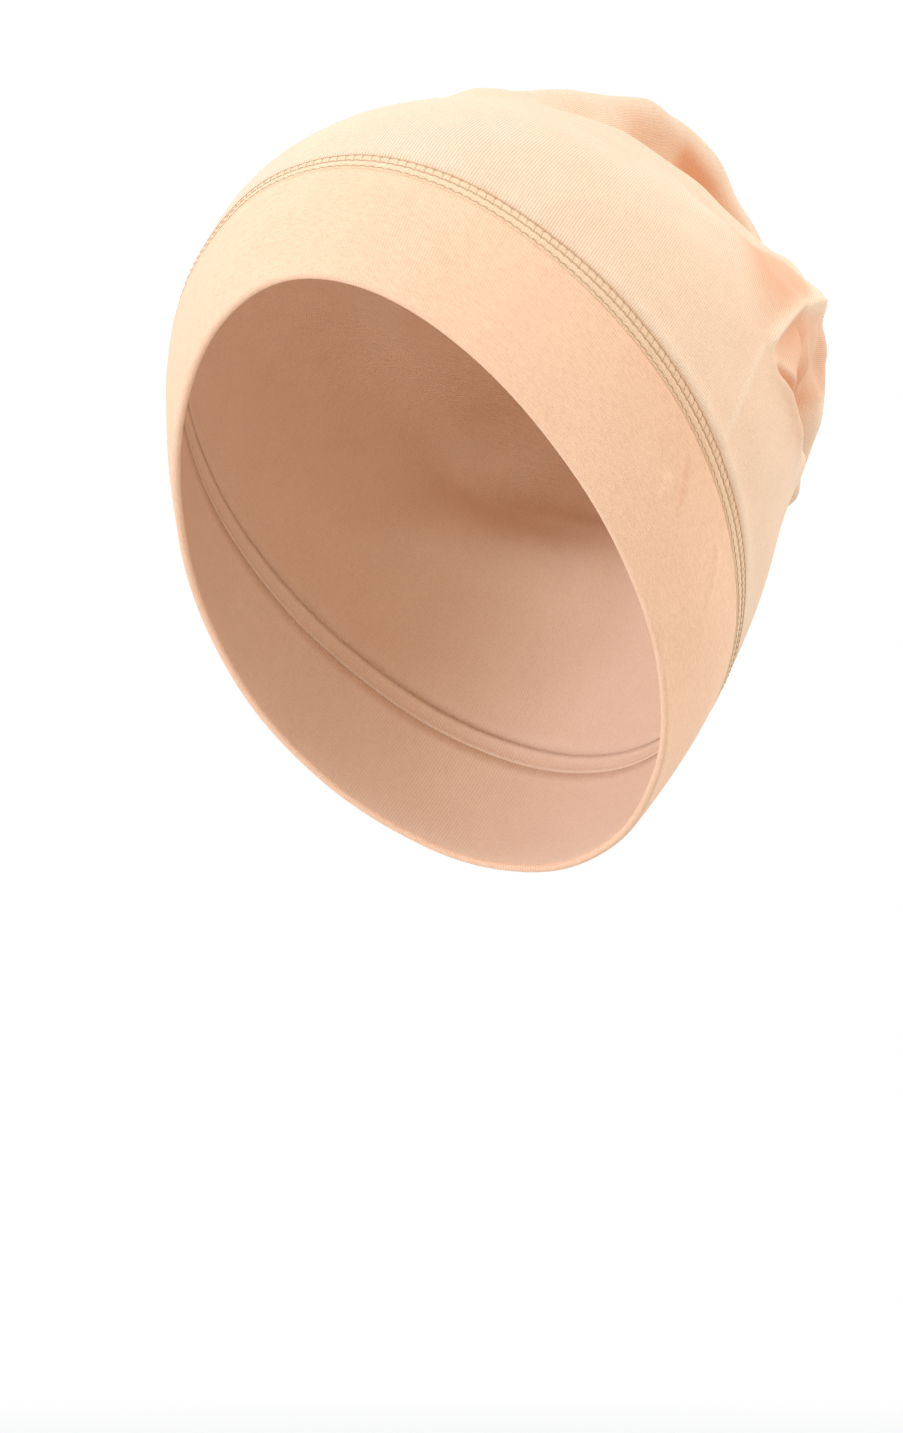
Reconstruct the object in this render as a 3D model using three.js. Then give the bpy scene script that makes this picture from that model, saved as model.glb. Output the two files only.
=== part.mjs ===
// A slouch turban of knit jersey in its worn form: a folded front band, a flat cover stitched
// seam, and a crown whose spare cloth falls into a soft pouch behind the head.
// Lengths are millimetres. +Z is up, the face looks along -Y, the wearer's left is +X.
// The origin is where the top of the head touches the inside of the crown.

import * as THREE from "three";

// Driving dimensions
const SEAT_ABOVE_RIM = 51.8; // the inside of the crown over the head, above the front of the rim
const BAND_DEPTH = 37.2; // rim to seam, along the cloth
const SEAM_WIDTH = 5.6; // outer rows of stitching, 4.8 apart, and their thread
const GAP = 0.3; // left between neighbouring pieces
const BAND_WALL = 2.4; // two layers of jersey with the fold at the rim
const SEAM_WALL = 2.8; // the joined layers, pressed flat
const SEAM_PROUD = 0.3; // how far the seam stands above the cloth beside it
const CROWN_WALL = 1.2; // one layer of jersey
const CROWN_END = 278; // rim to the end of the pouch, along the cloth

// Fineness of the faceted walls
const COLUMNS = 64; // points round the cap
const CROWDING = 0.46; // draws the columns together on the side with the folds
const CROWDED_TURN = 78; // degrees, where they stand closest
const CROWN_ROWS = 35;
const BAND_ROWS = 5;
const ROLL_STEPS = 4; // round the folded edge
const END_RING = 4; // the last ring of the crown before its end point
const CURVE_STEPS = 18; // along each fold
const PROBE = 0.6; // millimetres between the points that give a surface normal

// Hoops round the cap from the rim to the end of the pouch. Heights are above the rim's front.
// along: distance over the cloth. topY, topZ and lowY, lowZ: the hoop's ends in the mid plane.
// shiftX: its middle. left and right: its half widths. lift and lean: how far its sides move
// towards the top end and out of its plane. sink: how far the left side drops.
// topPinch and lowPinch: how much its upper and lower quarters are drawn in.
const HOOP_COLUMNS = ["along", "topY", "topZ", "lowY", "lowZ", "shiftX", "left", "right",
  "lift", "sink", "lean", "topPinch", "lowPinch"];
const HOOPS = [
  [0, -77.5, 0, 44, -163.2, 0, 71.3, 71.3, -7.3, 0, -4.6, 0.01, 0.02],
  [20, -69, 17, 62.5, -150.5, 0, 79, 79, 0.5, 0, -6, 0.02, 0.02],
  [40, -56.8, 32.3, 79.6, -134, 0, 83.6, 83.6, 7.9, 0, -6.9, 0.03, 0.01],
  [62, -40.5, 43.7, 90.5, -115, 0, 85, 84.5, 7, 0, -5, 0.03, 0],
  [90, -15, 51.5, 98.5, -93, 0, 84, 83, 5, 0, -3, 0.05, 0],
  [120, 15, 54, 102, -76, 1, 79.5, 79, 2, 1, 0, 0.1, -0.02],
  [150, 45, 55.5, 107, -67, 3, 71, 74, 0, 5, 0, 0.17, -0.05],
  [180, 76, 57, 115, -62, 7, 60, 66, 0, 11, 0, 0.25, -0.06],
  [208, 103, 55.5, 124, -54, 11, 48.5, 56, 0, 17, 0, 0.3, -0.05],
  [232, 125, 42.5, 134, -42, 15, 36.5, 44, 0, 17, 0, 0.26, -0.04],
  [252, 139, 26, 140.5, -27, 18, 25, 30, 0, 12, 0, 0.14, -0.03],
  [268, 145, 10, 144.5, -12, 20, 13, 14, 0, 5, 0, 0.03, 0],
  [CROWN_END, 146, 1, 146, -2, 20, 1, 1, 0, 0, 0, 0, 0],
];

// Folds on the crown. Each runs through three places, given as the distance over the cloth and
// the turn round the cap in degrees: 0 at the front, 90 at the wearer's left, 180 at the nape.
// width: half width. height: positive for a ridge, negative for a valley.
// crest: 2 is round, less is sharper. fade: the share of its length over which each end dies out.
const FOLD_COLUMNS = ["name", "along1", "turn1", "along2", "turn2", "along3", "turn3",
  "width", "height", "crest", "fade"];
const FOLDS = [
  ["top valley", 108, 10, 175, 21, 248, 34, 12, -9, 2, 0.3],
  ["near ridge", 95, 36, 150, 46, 205, 70, 13, 4, 2, 0.2],
  ["far ridge", 150, 0, 205, -1, 250, 6, 9, 3, 2, 0.2],
  ["far dent", 140, -28, 190, -34, 240, -30, 15, -4, 2, 0.3],
  ["hollow above the ear ridge", 110, 74, 150, 72, 185, 72, 9, -2.5, 2, 0.3],
  ["ear ridge", 90, 88, 140, 85, 210, 79, 6.5, 5.5, 1.6, 0.2],
  ["hollow under the ear ridge", 104, 97, 140, 99, 195, 95, 11, -6, 2, 0.3],
  ["first sag", 90, 88, 95, 103, 88, 124, 7, 2.5, 1.7, 0.2],
  ["valley behind the first sag", 99, 94, 107, 108, 100, 132, 7, -5, 2, 0.25],
  ["second sag", 104, 92, 118, 106, 114, 134, 6, 2, 1.7, 0.2],
  ["third sag", 165, 98, 150, 108, 140, 124, 8, 2.5, 2, 0.25],
  ["valley behind the third sag", 182, 102, 166, 114, 152, 130, 6, -3, 2, 0.25],
  ["tuck under the pouch, left", 100, 128, 112, 150, 116, 182, 11, -4, 2, 0.2],
  ["tuck under the pouch, right", 116, 178, 112, 206, 100, 234, 12, -4, 2, 0.25],
  ["pouch bottom", 150, 124, 168, 152, 170, 184, 14, 2.5, 2, 0.25],
  ["right back fold", 150, 240, 195, 232, 245, 240, 12, -4, 2, 0.25],
  ["right side fold", 140, 272, 190, 276, 240, 290, 13, -4, 2, 0.25],
  ["nape fold", 170, 160, 210, 170, 250, 165, 12, -3.5, 2, 0.25],
];

const named = (columns, row) => Object.fromEntries(columns.map((name, i) => [name, row[i]]));
const hoops = HOOPS.map((row) => named(HOOP_COLUMNS, row));
const radians = THREE.MathUtils.degToRad;

// Slope of one hoop value at a table row, from the rows on both sides
function slope(index, key) {
  const before = hoops[Math.max(index - 1, 0)];
  const after = hoops[Math.min(index + 1, hoops.length - 1)];
  return (after[key] - before[key]) / (after.along - before.along);
}

// All hoop values at a distance over the cloth, on smooth curves through the table's rows
function hoopAt(along) {
  let index = 0;
  while (index < hoops.length - 2 && along >= hoops[index + 1].along) index += 1;
  const start = hoops[index];
  const end = hoops[index + 1];
  const span = end.along - start.along;
  const t = (along - start.along) / span;
  const t2 = t * t;
  const t3 = t2 * t;
  const hoop = { along };
  for (const key of HOOP_COLUMNS.slice(1)) {
    hoop[key] = (2 * t3 - 3 * t2 + 1) * start[key] + (t3 - 2 * t2 + t) * span * slope(index, key)
      + (3 * t2 - 2 * t3) * end[key] + (t3 - t2) * span * slope(index + 1, key);
  }
  return hoop;
}

// A point of the smooth form, before its folds. The turn is in radians.
function plainPoint(along, turn) {
  const hoop = hoopAt(along);
  const top = new THREE.Vector3(hoop.shiftX, hoop.topY, hoop.topZ - SEAT_ABOVE_RIM);
  const low = new THREE.Vector3(hoop.shiftX, hoop.lowY, hoop.lowZ - SEAT_ABOVE_RIM);
  const upward = top.clone().sub(low).normalize();
  const outOfPlane = new THREE.Vector3(0, upward.z, -upward.y);
  const cos = Math.cos(turn);
  const sin = Math.sin(turn);
  const pinch = cos > 0 ? hoop.topPinch : hoop.lowPinch;
  const drawIn = 1 - pinch * Math.sin(2 * turn) ** 2;
  const half = sin > 0 ? hoop.left : hoop.right;
  const rise = cos * drawIn * top.distanceTo(low) / 2
    + sin * sin * (hoop.lift - (sin > 0 ? hoop.sink : 0));
  const point = top.add(low).multiplyScalar(0.5);
  point.addScaledVector(upward, rise);
  point.addScaledVector(outOfPlane, sin * sin * hoop.lean);
  point.x += sin * drawIn * half;
  return point;
}

// The outward normal of a surface that is given as a function of along and turn
function normalOf(surface, along, turn) {
  const step = PROBE / 60; // radians, about the same length as the probe near the pouch
  const ahead = surface(Math.min(along + PROBE, CROWN_END), turn);
  const behind = surface(Math.max(along - PROBE, 0), turn);
  const around = surface(along, turn + step).sub(surface(along, turn - step));
  return around.cross(ahead.sub(behind)).normalize();
}

// The path of a fold, a smooth curve on the plain form through its three places
function foldPath(fold) {
  const middle = (a, b, c) => 2 * b - (a + c) / 2;
  const alongMid = middle(fold.along1, fold.along2, fold.along3);
  const turnMid = middle(fold.turn1, fold.turn2, fold.turn3);
  const bend = new THREE.QuadraticBezierCurve(
    new THREE.Vector2(fold.along1, fold.turn1),
    new THREE.Vector2(alongMid, turnMid),
    new THREE.Vector2(fold.along3, fold.turn3),
  );
  return bend.getPoints(CURVE_STEPS).map((place) => plainPoint(place.x, radians(place.y)));
}

const folds = FOLDS.map((row) => named(FOLD_COLUMNS, row));
for (const fold of folds) fold.path = foldPath(fold);

// How far one fold raises the cloth at a point of the plain form
function foldHeight(fold, point) {
  const nearest = new THREE.Vector3();
  const stretch = new THREE.Line3();
  let distance = Infinity;
  let place = 0;
  for (let i = 0; i < CURVE_STEPS; i += 1) {
    stretch.set(fold.path[i], fold.path[i + 1]);
    const share = stretch.closestPointToPointParameter(point, true);
    const away = stretch.at(share, nearest).distanceTo(point);
    if (away < distance) {
      distance = away;
      place = (i + share) / CURVE_STEPS;
    }
  }
  const ends = THREE.MathUtils.smoothstep(place, 0, fold.fade)
    * THREE.MathUtils.smoothstep(1 - place, 0, fold.fade);
  return fold.height * ends * Math.exp(-((distance / fold.width) ** fold.crest));
}

// A point on the outside of the cloth, with its folds
function clothPoint(along, turn) {
  const point = plainPoint(along, turn);
  const raised = folds.reduce((sum, fold) => sum + foldHeight(fold, point), 0);
  if (raised === 0) return point;
  return point.addScaledVector(normalOf(plainPoint, along, turn), raised);
}

// A point in the wall, at a depth under the outside of the cloth
function wallPoint(along, turn, depth) {
  const normal = normalOf(clothPoint, along, turn);
  return clothPoint(along, turn).addScaledVector(normal, -depth);
}

// The turn of each column, in radians. Columns stand closer on the side with the folds.
function columnTurns() {
  const crowded = radians(CROWDED_TURN);
  const turns = [];
  for (let i = 0; i < COLUMNS; i += 1) {
    const even = crowded + 2 * Math.PI * i / COLUMNS;
    turns.push(even - CROWDING * Math.sin(even - crowded));
  }
  return turns;
}

// Evenly spaced values from first to last, both included
function steps(first, last, count) {
  return Array.from({ length: count + 1 }, (_, i) => first + (last - first) * i / count);
}

// A closed body swept round the cap through a profile of wall places, each with its distance
// over the cloth and its depth. A looped profile gives a ring. An open one is closed at both
// ends by a point, so it gives a cap with an inside.
function sweep(profile, looped) {
  const turns = columnTurns();
  const positions = [];
  for (const [along, depth] of profile) {
    for (const turn of turns) positions.push(...wallPoint(along, turn, depth));
  }
  const triangles = [];
  const last = looped ? profile.length : profile.length - 1;
  for (let row = 0; row < last; row += 1) {
    const next = (row + 1) % profile.length;
    for (let i = 0; i < COLUMNS; i += 1) {
      const j = (i + 1) % COLUMNS;
      const a = row * COLUMNS + i;
      const b = row * COLUMNS + j;
      const c = next * COLUMNS + j;
      const d = next * COLUMNS + i;
      triangles.push(a, b, c, a, c, d);
    }
  }
  if (!looped) {
    closeEnd(positions, triangles, 0, false);
    closeEnd(positions, triangles, profile.length - 1, true);
  }
  const geometry = new THREE.BufferGeometry();
  geometry.setAttribute("position", new THREE.Float32BufferAttribute(positions, 3));
  geometry.setIndex(triangles);
  geometry.computeVertexNormals();
  return geometry;
}

// Closes one end of an open profile with triangles to the middle of its ring
function closeEnd(positions, triangles, row, atLast) {
  const middle = new THREE.Vector3();
  const corner = new THREE.Vector3();
  for (let i = 0; i < COLUMNS; i += 1) {
    middle.add(corner.fromArray(positions, 3 * (row * COLUMNS + i)));
  }
  middle.divideScalar(COLUMNS);
  const tip = positions.length / 3;
  positions.push(...middle);
  for (let i = 0; i < COLUMNS; i += 1) {
    const a = row * COLUMNS + i;
    const b = row * COLUMNS + (i + 1) % COLUMNS;
    triangles.push(...(atLast ? [a, b, tip] : [b, a, tip]));
  }
}

// The band's profile: the outside, and the inside back to the rolled edge at the rim
function bandProfile() {
  const radius = BAND_WALL / 2;
  const edge = BAND_DEPTH - GAP / 2;
  const outside = steps(radius, edge, BAND_ROWS).map((along) => [along, 0]);
  const inside = steps(edge, radius, BAND_ROWS).map((along) => [along, BAND_WALL]);
  const roll = steps(0, Math.PI, ROLL_STEPS).slice(1, -1)
    .map((angle) => [radius - radius * Math.sin(angle), radius + radius * Math.cos(angle)]);
  return [...outside, ...inside, ...roll];
}

// The seam's profile: a flat strip, a little proud of the cloth on both sides
function seamProfile() {
  const start = BAND_DEPTH + GAP / 2;
  const end = BAND_DEPTH + SEAM_WIDTH - GAP / 2;
  const places = steps(start, end, 2);
  const outside = places.map((along) => [along, -SEAM_PROUD]);
  const inside = places.reverse().map((along) => [along, SEAM_WALL - SEAM_PROUD]);
  return [...outside, ...inside];
}

// The crown's profile: the inside from the end of the pouch, then the outside back to it
function crownProfile() {
  const edge = BAND_DEPTH + SEAM_WIDTH + GAP / 2;
  const end = CROWN_END - END_RING;
  const inside = steps(end, edge, CROWN_ROWS).map((along) => [along, CROWN_WALL]);
  const outside = steps(edge, end, CROWN_ROWS).map((along) => [along, 0]);
  return [...inside, ...outside];
}

function cloth(color, roughness) {
  return new THREE.MeshStandardMaterial({ color, roughness, metalness: 0 });
}

function piece(name, geometry, material) {
  const mesh = new THREE.Mesh(geometry, material);
  mesh.name = name;
  return mesh;
}

const turban = new THREE.Group();
turban.add(piece("front_band", sweep(bandProfile(), true), cloth(0xf2c399, 0.86)));
turban.add(piece("cover_seam", sweep(seamProfile(), true), cloth(0xcfae80, 0.9)));
turban.add(piece("crown", sweep(crownProfile(), false), cloth(0xf9d9b0, 0.88)));

export default turban;
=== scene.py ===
import math

import bpy
import numpy as np
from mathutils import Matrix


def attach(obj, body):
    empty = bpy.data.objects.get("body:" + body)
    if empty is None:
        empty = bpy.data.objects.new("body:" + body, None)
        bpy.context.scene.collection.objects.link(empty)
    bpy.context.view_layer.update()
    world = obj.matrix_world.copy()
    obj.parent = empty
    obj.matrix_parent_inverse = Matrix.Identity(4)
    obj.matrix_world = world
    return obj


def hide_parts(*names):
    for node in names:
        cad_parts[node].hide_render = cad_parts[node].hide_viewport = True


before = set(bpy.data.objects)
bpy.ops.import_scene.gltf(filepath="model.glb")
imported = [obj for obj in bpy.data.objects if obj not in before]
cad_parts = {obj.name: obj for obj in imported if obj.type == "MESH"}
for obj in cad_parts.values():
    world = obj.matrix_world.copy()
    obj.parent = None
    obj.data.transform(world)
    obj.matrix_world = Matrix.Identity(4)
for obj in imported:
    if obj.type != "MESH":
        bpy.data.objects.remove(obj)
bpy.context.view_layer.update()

# A slouch turban of fine knit jersey in its worn form: a folded front band, a flat cover
# stitched seam and a crown whose spare cloth falls into a soft pouch behind the head.
# Lengths are millimetres, and metres for the camera, the lamp and the floor. The origin is
# where the head touches the crown.

# Camera at the photograph's angle: level, 30 degrees round from the face to the wearer's left
CAMERA_PLACE = (1.10075, -1.9048, -0.1704)
CAMERA_TURN = 30
CAMERA_LENS = 198.97
SENSOR = 36

# The studio's light: its strength, how it grows towards the back and the top, how much dimmer
# it is on one side, and a lamp
STUDIO_LIGHT = 1.1
STUDIO_SLOPE = (0.16, 0.24, 0.47)
DIM_SIDE = (0.494, -0.856, -0.148)
DIM = 0.75
GROUND_TINT = (1.03, 0.97, 0.9)
SKY_TINT = (0.97, 1.01, 1.05)
KEY_PLACE = (-0.95, -2.38, 0.3)
KEY_TARGET = (0, 0.02, -0.1)
KEY_SIZE = 1.2
KEY_POWER = 27
KEY_COLOR = (0.92, 1, 1.25)

FLOOR_HALF = 14  # half its width
FLOOR_HEIGHT = -0.46
FLOOR_GREY = 0.5

SEAT_ABOVE_RIM = 51.8  # inside of the crown over the head, above the front of the rim
BAND_DEPTH = 37.2  # rim to seam, along the cloth
SEAM_WIDTH = 5.6
BAND_WALL = 2.4
SEAM_WALL = 2.6
CROWN_WALL = 1.2
CROWN_END = 278
CROWN_STOP = CROWN_END - 2  # the crown's last row, before the point that closes it
CAP_RADIUS = 80  # roughly

LAP = 0.2  # how far the crown and the band reach under the strip
LAP_SINK = 0.35  # how much lower their last row lies
STRIP_LAP = 0.25  # how far the strip reaches over them
STRIP_SINK = 0.6  # how much lower its edges lie
STRIP_RISE = 0.12  # how far it stands above the cloth beside it

PUCKER = 0.16  # height of the puckers beside the seam
PUCKER_REACH = 6
UNEVEN = 0.22  # height of the cloth's soft unevenness
GATHER = 1.5  # height of the pleats that close the pouch
GATHER_FROM, GATHER_OVER = 226, 38
DIMPLE = 5  # how far the pouch's end is sunk
DIMPLE_FROM, DIMPLE_OVER = 262, 16

WALES = 768  # columns of knitting round the cap
COURSE = 0.62  # height of one row of knitting
HALF_RIBS_FROM, HALF_RIBS_OVER = 225, 40  # where half as many ribs take over
QUARTER_RIBS_FROM, QUARTER_RIBS_OVER = 254, 14
RIB_DEPTH = 0.00016  # in metres
PLY_DEPTH = 0.0001  # in metres
STREAKS_ROUND = 34  # fineness of the yarn's thick places round the cap
STREAKS_ALONG = 1.3  # and for each row of knitting
FIBRE_SCALE = 1500  # fineness of the loose fibres
FIBRE_TONE = 0.75  # how much they show in the colour
MOTTLE_SCALE = 70
MOTTLE_TONE = 0.25
THREAD_FIBRE_SCALE = 2600
THREAD_TWIST = 1.6  # plies in each millimetre of thread

STITCH = 2.65  # length of one seam stitch
ROW_STEPS = (-2.15, 0.25, 2.62)  # rows of thread, from the middle of the seam towards the crown
# Painted shade: the strip is darkened where the folds' painted shade falls on it
STRIP_PAINTED_SHADE = 1.5  # how much more than the crown the pressed strip takes on a fold's shade
HOOK = 0.12  # how far on the stitches of the other two rows start, as a share of a stitch

GROOVE = 0.04  # how deep a row of thread presses into the strip
GROOVE_WIDTH = 0.4
HOLE_DIP = 0.12  # how much deeper the groove is at a hole
STRIP_HOLE = 0.16  # length of a hole in the strip, as a share of a stitch
THREAD_HOLE = 0.13  # length of the thread's swelling at a hole, as a share of a stitch
STRIP_WAVE = 0.08  # height of the strip between the rows of thread
STRIP_WAVE_PITCH = 2.1
THREAD_RADIUS = 0.06
MIDDLE_RADIUS = 0.055
HOLE_SWELL = 0.15  # how much thicker the crown side's thread is at a hole
LOOP_SWELL = 0.05  # how much thicker the other rows are in the middle of a stitch
LOOP_LIFT = 0.11  # how high those two rows lie over the strip

# Fineness of the meshes
CROWN_COLUMNS = 400
CROWN_ROWS = 208
BAND_COLUMNS = 640
BAND_ROWS = 40
STRIP_STEPS = 6  # columns for each stitch
STRIP_ROWS = 21
RIM_STEPS = 8  # round the fold at the rim
INNER_ROWS, INNER_COLUMNS = 4, 2  # the inside has every fourth row and second column
THREAD_STEPS = 12  # rings of thread for each stitch
THREAD_SIDES = 6
RUNG_POINTS = 6
RUNG_SIDES = 5
CROWDING = 0.52  # how much closer the columns stand on the side with the folds
CROWDED_TURN = 84
CLOSE_FROM, CLOSE_TO = 78, 196  # rows between these places stand closer
CLOSENESS = 2.2

# Hoops round the cap from the rim to the end of the pouch. Heights are above the rim's front.
# along: distance over the cloth. topY, topZ and lowY, lowZ: the hoop's ends in the mid plane.
# shiftX: its middle. left and right: its half widths. lift and lean: how far its sides move
# towards the top end and out of its plane. sink: how far the left side drops.
# topPinch and lowPinch: how much its upper and lower quarters are drawn in.
HOOP_COLUMNS = ("along", "topY", "topZ", "lowY", "lowZ", "shiftX", "left", "right",
                "lift", "sink", "lean", "topPinch", "lowPinch")
HOOPS = (
    (0, -77.5, 0, 44, -163.2, 0, 71.3, 71.3, -7.3, 0, -4.6, 0.01, 0.02),
    (20, -69, 17, 62.5, -150.5, 0, 79, 79, 0.5, 0, -6, 0.02, 0.02),
    (40, -56.8, 32.3, 79.6, -134, 0, 83.6, 83.6, 7.9, 0, -6.9, 0.03, 0.01),
    (62, -40.5, 43.7, 90.5, -115, 0, 85, 84.5, 7, 0, -5, 0.03, 0),
    (90, -15, 51.5, 98.5, -93, 0, 84, 83, 5, 0, -3, 0.05, 0),
    (120, 15, 54, 102, -76, 1, 79.5, 79, 2, 1, 0, 0.1, -0.02),
    (150, 45, 55.5, 107, -67, 3, 71, 74, 0, 5, 0, 0.17, -0.05),
    (180, 76, 57, 115, -62, 7, 60, 66, 0, 11, 0, 0.25, -0.06),
    (208, 103, 55.5, 124, -54, 11, 48.5, 56, 0, 17, 0, 0.3, -0.05),
    (232, 125, 42.5, 134, -42, 15, 36.5, 44, 0, 17, 0, 0.26, -0.04),
    (252, 139, 26, 140.5, -27, 18, 25, 30, 0, 12, 0, 0.14, -0.03),
    (268, 145, 10, 144.5, -12, 20, 13, 14, 0, 5, 0, 0.03, 0),
    (CROWN_END, 146, 1, 146, -2, 20, 1, 1, 0, 0, 0, 0, 0),
)

# Folds. Each runs through three places, given as the distance over the cloth and the turn
# round the cap in degrees: 0 at the front, 90 at the wearer's left, 180 at the nape.
# before and behind: half widths on the side of smaller and of larger turn, or, for a fold
# that runs round the cap, on the side of the pouch and of the rim.
# height: positive for a ridge. crest: 2 is round, less is sharper.
# fade: the share of its length over which each end dies out.
# shade: painted shade, how much the cloth's colour is darkened there to stand in for the shade
# in the fold, from 0 to 1. Where folds overlap their shades add up, and one below 0 takes some of
# the others away, which paints a lighter line or patch as a painted highlight. A height of 0 is
# painted shade alone.
FOLD_REACH = 2.6  # no fold reaches further than this many of its half widths
FOLD_COLUMNS = ("name", "along1", "turn1", "along2", "turn2", "along3", "turn3",
                "before", "behind", "height", "crest", "fade", "shade")
FOLDS = (
    # On top
    ("top valley", 158, 12, 188, 24, 214, 44, 12, 8.5, -9.5, 1.6, 0.4, 0),
    ("start of the top valley", 130, 8, 160, 13, 190, 23, 6, 6, -4, 2, 0.4, 0),
    ("crease in the top valley", 182, 22, 200, 30, 214, 42, 2, 3, -1.2, 1.4, 0.3, 0.4),
    ("shade in the top valley", 172, 8, 197, 18, 213, 35, 5.5, 9, 0, 2, 0.22, 0.45),
    ("deep end of the top valley", 197, 18, 208, 28, 222, 52, 5, 9, 0, 2, 0.25, 0.55),
    ("near ridge", 150, 28, 186, 52, 186, 74, 9, 12, 3, 2, 0.25, 0),
    ("far ridge", 108, 1, 160, -1, 208, 4, 9, 7, 2.9, 2, 0.12, 0),
    ("far end", 224, 8, 243, 26, 250, 46, 12, 12, -3, 2, 0.3, 0),
    ("far dent", 140, -28, 190, -34, 240, -30, 15, 15, -4, 2, 0.3, 0),
    # Above the ear
    ("shade above the ear ridge", 124, 58, 140, 75, 153, 92, 27, 29, 0, 3, 0.3, 0.7),
    ("swell above the ear ridge", 146, 66, 152, 75, 154, 84, 16, 18, 1.1, 2, 0.35, 0),
    ("hollow above the ear ridge", 118, 68, 140, 76, 162, 80, 14, 8, -1.5, 2, 0.35, 0),
    ("edge of the pouch", 188, 60, 188, 73, 186, 85, 8, 26, 2.8, 2, 0.4, 0),
    # The ear ridge and its tip carry a painted highlight, a shade below 0, besides their real height
    ("ear ridge", 82, 87.3, 128, 85.2, 174, 81.5, 2.4, 1.3, 2, 1.5, 0.1, -0.6),
    ("tip of the ear ridge", 140, 84.3, 172, 81.5, 200, 77.5, 6, 3, 3, 1.8, 0.45, -0.3),
    # Below the ear ridge
    ("hollow under the ear ridge", 86, 90, 118, 89.3, 150, 87, 2.2, 6, -2.6, 2, 0.2, 0.1),
    ("shade below the ear ridge", 152, 84, 152, 98, 146, 114, 30, 34, 0, 3, 0.2, 0.5),
    ("flat below the tip", 144, 101, 160, 98, 178, 93, 8, 10, -3.4, 2, 0.3, 0),
    ("flat behind the tip", 190, 82, 215, 89, 242, 98, 14, 13, -2.6, 2, 0.3, 0),
    ("panel hollow", 110, 95, 113, 102, 118, 110, 20, 8, -7, 2, 0.35, 0.1),
    ("lower panel hollow", 112, 105, 119, 113, 126, 121, 16, 6, -5, 2, 0.3, 0.1),
    ("inner sag", 83, 89, 93, 101, 100, 120, 2.4, 3.2, 1.4, 1.8, 0.3, 0),
    ("groove beside the inner sag", 86, 91, 97.5, 102, 104.5, 121, 1.9, 1.6, -3.2, 2, 0.2, 0.45),
    ("outer sag", 88, 92, 101.5, 102, 110, 118, 2.2, 2, 1.2, 1.8, 0.25, 0),
    ("lobe", 108, 108, 117, 124, 106, 144, 4, 6, 1, 1.8, 0.25, 0),
    ("valley behind the lobe", 118, 102, 130, 120, 122, 146, 9, 4, -9, 2.2, 0.25, 0.5),
    ("hollow behind the lobe", 165, 138, 202, 116, 218, 88, 20, 20, -4, 2, 0.15, 0),
    # Under the pouch, at the nape and at the wearer's right
    ("tuck under the pouch, left", 100, 128, 112, 150, 116, 182, 11, 11, -4, 2, 0.2, 0),
    ("tuck under the pouch, right", 116, 178, 112, 206, 100, 234, 12, 12, -4, 2, 0.25, 0),
    ("pouch bottom", 150, 124, 168, 152, 170, 184, 14, 14, 2.5, 2, 0.25, 0),
    ("nape fold", 170, 160, 210, 170, 250, 165, 12, 12, -3.5, 2, 0.25, 0),
    ("right back fold", 150, 240, 195, 232, 245, 240, 12, 12, -4, 2, 0.25, 0),
    ("right side fold", 140, 272, 190, 276, 240, 290, 13, 13, -4, 2, 0.25, 0),
    # Beside the seam, and over the whole left side
    # The press line is a real raised line with a painted highlight on it; the row after it is a painted
    # highlight alone, beside the seam
    ("press line", 40, 90, 65, 87.5, 86, 86, 1, 1, 0.45, 1.5, 0.1, -0.25),
    ("bright edge beside the seam", 45, 20, 45, 72, 45, 118, 1.5, 1.5, 0, 2, 0.3, -0.16),
    ("bulge beside the seam, upper", 45, -20, 45, 25, 45, 70, 2.2, 2, 0.45, 2, 0.3, 0),
    ("bulge beside the seam, lower", 45, 40, 45, 84, 45, 122, 2.3, 2, 0.7, 2, 0.3, 0),
    # Painted shade over the wearer's whole left side, where the light is dimmer
    ("tone of the left side", 20, 92, 75, 93, 130, 97, 52, 45, 0, 2, 0.25, 0.17),
)
BAND_FOLDS = (
    # The dimple and the slanting wrinkle carry a painted highlight, the short crease painted shade
    ("dimple", 24, 80, 21, 81, 17, 81.5, 1.3, 1.1, 1, 2, 0.4, -0.2),
    ("short crease", 34, 82, 26, 85, 14, 86, 1.3, 1.3, -0.5, 2, 0.4, 0.15),
    ("slanting wrinkle", 33, 98, 26, 102, 18, 104, 1.6, 1.6, 0.6, 2, 0.4, -0.1),
    ("faint wrinkle", 33, -34, 32, -22, 33, -8, 1.6, 1.6, 0.3, 2, 0.4, 0),
)
ALL_FOLDS = FOLDS + BAND_FOLDS


def smooth(value):
    """Rises smoothly from 0 to 1."""
    t = np.clip(value, 0, 1)
    return t * t * (3 - 2 * t)


HOOP_VALUES = np.array(HOOPS, float)
PLACES = HOOP_VALUES[:, 0]
SLOPES = np.empty_like(HOOP_VALUES)
SLOPES[1:-1] = (HOOP_VALUES[2:] - HOOP_VALUES[:-2]) / (PLACES[2:] - PLACES[:-2])[:, None]
SLOPES[0] = (HOOP_VALUES[1] - HOOP_VALUES[0]) / (PLACES[1] - PLACES[0])
SLOPES[-1] = (HOOP_VALUES[-1] - HOOP_VALUES[-2]) / (PLACES[-1] - PLACES[-2])


def hoop_at(along):
    """All hoop values at each distance over the cloth, on smooth curves through the table."""
    index = np.clip(np.searchsorted(PLACES, along, side="right") - 1, 0, len(PLACES) - 2)
    span = (PLACES[index + 1] - PLACES[index])[..., None]
    t = ((along - PLACES[index]) / span[..., 0])[..., None]
    start, end = HOOP_VALUES[index], HOOP_VALUES[index + 1]
    first, last = SLOPES[index] * span, SLOPES[index + 1] * span
    value = ((2 * t ** 3 - 3 * t ** 2 + 1) * start + (t ** 3 - 2 * t ** 2 + t) * first
             + (3 * t ** 2 - 2 * t ** 3) * end + (t ** 3 - t ** 2) * last)
    return {name: value[..., i] for i, name in enumerate(HOOP_COLUMNS)}


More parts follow.
